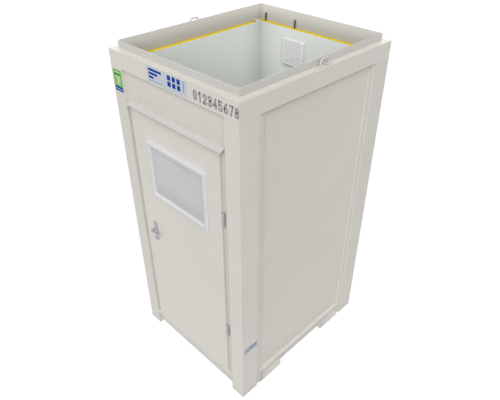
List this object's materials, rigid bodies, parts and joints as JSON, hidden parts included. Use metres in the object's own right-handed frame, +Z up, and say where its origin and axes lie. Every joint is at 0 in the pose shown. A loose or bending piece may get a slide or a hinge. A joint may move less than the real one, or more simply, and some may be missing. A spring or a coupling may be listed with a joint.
{
  "type": "sanitary container",
  "caption": "Tall box-shaped toilet cabin of painted folded steel with corner posts, an open kerbed top, a glazed hinged door, lifting eyes, fan, toilet and wash basin.",
  "frame": {"origin": "on the ground, under the middle of the cabin's box", "axes": "+Z up; -Y is the door side; +X is to the right of someone who faces the door"},
  "size_m": [1.2, 1.48, 2.549],
  "materials": {
    "painted_steel": "satin",
    "coated_sheet": "satin",
    "galvanised_steel": "matte",
    "hinge_steel": "satin",
    "handle_metal": "satin",
    "chromed_brass": "polished",
    "mineral_wool": "matte",
    "wood_board": "matte",
    "vinyl": "matte",
    "white_plastic": "satin",
    "window_plastic": "satin",
    "lamp_plastic": "matte",
    "grey_plastic": "matte",
    "blue_plastic": "satin",
    "frosted_glass": "matte",
    "seal_rubber": "matte",
    "cable_rubber": "matte",
    "sanitary_ceramic": "gloss",
    "tissue_paper": "matte"
  },
  "bodies": {
    "cabin": {"corner_post_front_left": "painted_steel", "corner_post_front_right": "painted_steel", "corner_post_rear_left": "painted_steel", "corner_post_rear_right": "painted_steel", "base_rail_front": "painted_steel", "roof_rail_front": "painted_steel", "base_rail_rear": "painted_steel", "roof_rail_rear": "painted_steel", "base_rail_left": "painted_steel", "roof_rail_left": "painted_steel", "base_rail_right": "painted_steel", "roof_rail_right": "painted_steel", "floor_joists": "galvanised_steel", "floor_underlay": "galvanised_steel", "floor_deck": "wood_board", "floor_covering": "vinyl", "insulation": "mineral_wool", "lifting_eyes": "painted_steel", "corner_brackets": "coated_sheet", "wall_cladding_left": "painted_steel", "wall_cladding_right": "painted_steel", "wall_cladding_rear": "painted_steel", "transom_cladding": "painted_steel", "wall_lining_left": "coated_sheet", "wall_lining_right": "coated_sheet", "wall_lining_rear": "coated_sheet", "wall_lining_front": "coated_sheet", "drip_rail": "painted_steel", "door_frame": "painted_steel", "door_seal": "seal_rubber", "hinge_pins": "hinge_steel", "vent_cover": "white_plastic", "fan_housing": "white_plastic", "vent_hood": "painted_steel", "power_inlets": "blue_plastic", "supply_cables": "cable_rubber", "lamp": "lamp_plastic", "toilet_bowl": "sanitary_ceramic", "cistern": "sanitary_ceramic", "wash_basin": "sanitary_ceramic", "tap_body": "chromed_brass", "waste_pipes": "grey_plastic", "water_inlet": "galvanised_steel", "paper_holder": "hinge_steel"},
    "door": {"door_leaf": "painted_steel", "window_outer_frame": "window_plastic", "window_inner_frame": "window_plastic", "window_pane": "frosted_glass", "hinge_knuckles": "hinge_steel", "handle_plates": "handle_metal", "lock_case": "galvanised_steel"},
    "lever": {"lever_handle": "handle_metal"},
    "latch": {"latch_bolt": "hinge_steel"},
    "dead_bolt": {"dead_bolt": "hinge_steel"},
    "thumb_turn": {"thumb_turn": "handle_metal"},
    "fan": {"fan_rotor": "white_plastic"},
    "flush_button": {"flush_button": "chromed_brass"},
    "seat": {"toilet_seat": "white_plastic"},
    "tap_lever": {"tap_lever": "chromed_brass"},
    "paper": {"paper_roll": "tissue_paper"}
  },
  "joints": [
    {"name": "door_hinge", "type": "hinge", "parent": "cabin", "child": "door", "pos_m": [0.438, -0.69, 1.15], "axis": [0, 0, 1], "range_deg": [0, 110]},
    {"name": "handle_turn", "type": "hinge", "parent": "door", "child": "lever", "pos_m": [-0.344, -0.69, 1.163], "axis": [0, 1, 0], "range_deg": [0, 40], "stiffness_Nm_per_rad": 1.5},
    {"name": "latch_slide", "type": "slide", "parent": "door", "child": "latch", "axis": [1, 0, 0], "range_m": [0, 0.012]},
    {"name": "lock_turn", "type": "hinge", "parent": "door", "child": "thumb_turn", "pos_m": [-0.344, -0.65, 1.077], "axis": [0, 1, 0], "range_deg": [0, 90]},
    {"name": "bolt_slide", "type": "slide", "parent": "door", "child": "dead_bolt", "axis": [-1, 0, 0], "range_m": [0, 0.016]},
    {"name": "fan_spin", "type": "hinge", "parent": "cabin", "child": "fan", "pos_m": [-0.1635, 0.65, 2.248], "axis": [0, 1, 0], "continuous": true},
    {"name": "flush_press", "type": "slide", "parent": "cabin", "child": "flush_button", "axis": [0, 0, -1], "range_m": [0, 0.005], "stiffness_N_per_m": 800},
    {"name": "seat_hinge", "type": "hinge", "parent": "cabin", "child": "seat", "pos_m": [-0.1, 0.4205, 0.5705], "axis": [-1, 0, 0], "range_deg": [0, 94]},
    {"name": "tap_turn", "type": "hinge", "parent": "cabin", "child": "tap_lever", "pos_m": [0.4795, -0.29, 1.12], "axis": [0, 0, 1], "range_deg": [-60, 60]},
    {"name": "paper_spin", "type": "hinge", "parent": "cabin", "child": "paper", "pos_m": [-0.4435, 0.33, 0.7], "axis": [0, 1, 0], "continuous": true}
  ],
  "couplings": [
    {"joint": "latch_slide", "follows": "handle_turn", "m_per_rad": 0.01718},
    {"joint": "lock_turn", "follows": "bolt_slide", "rad_per_m": 98.17}
  ]
}
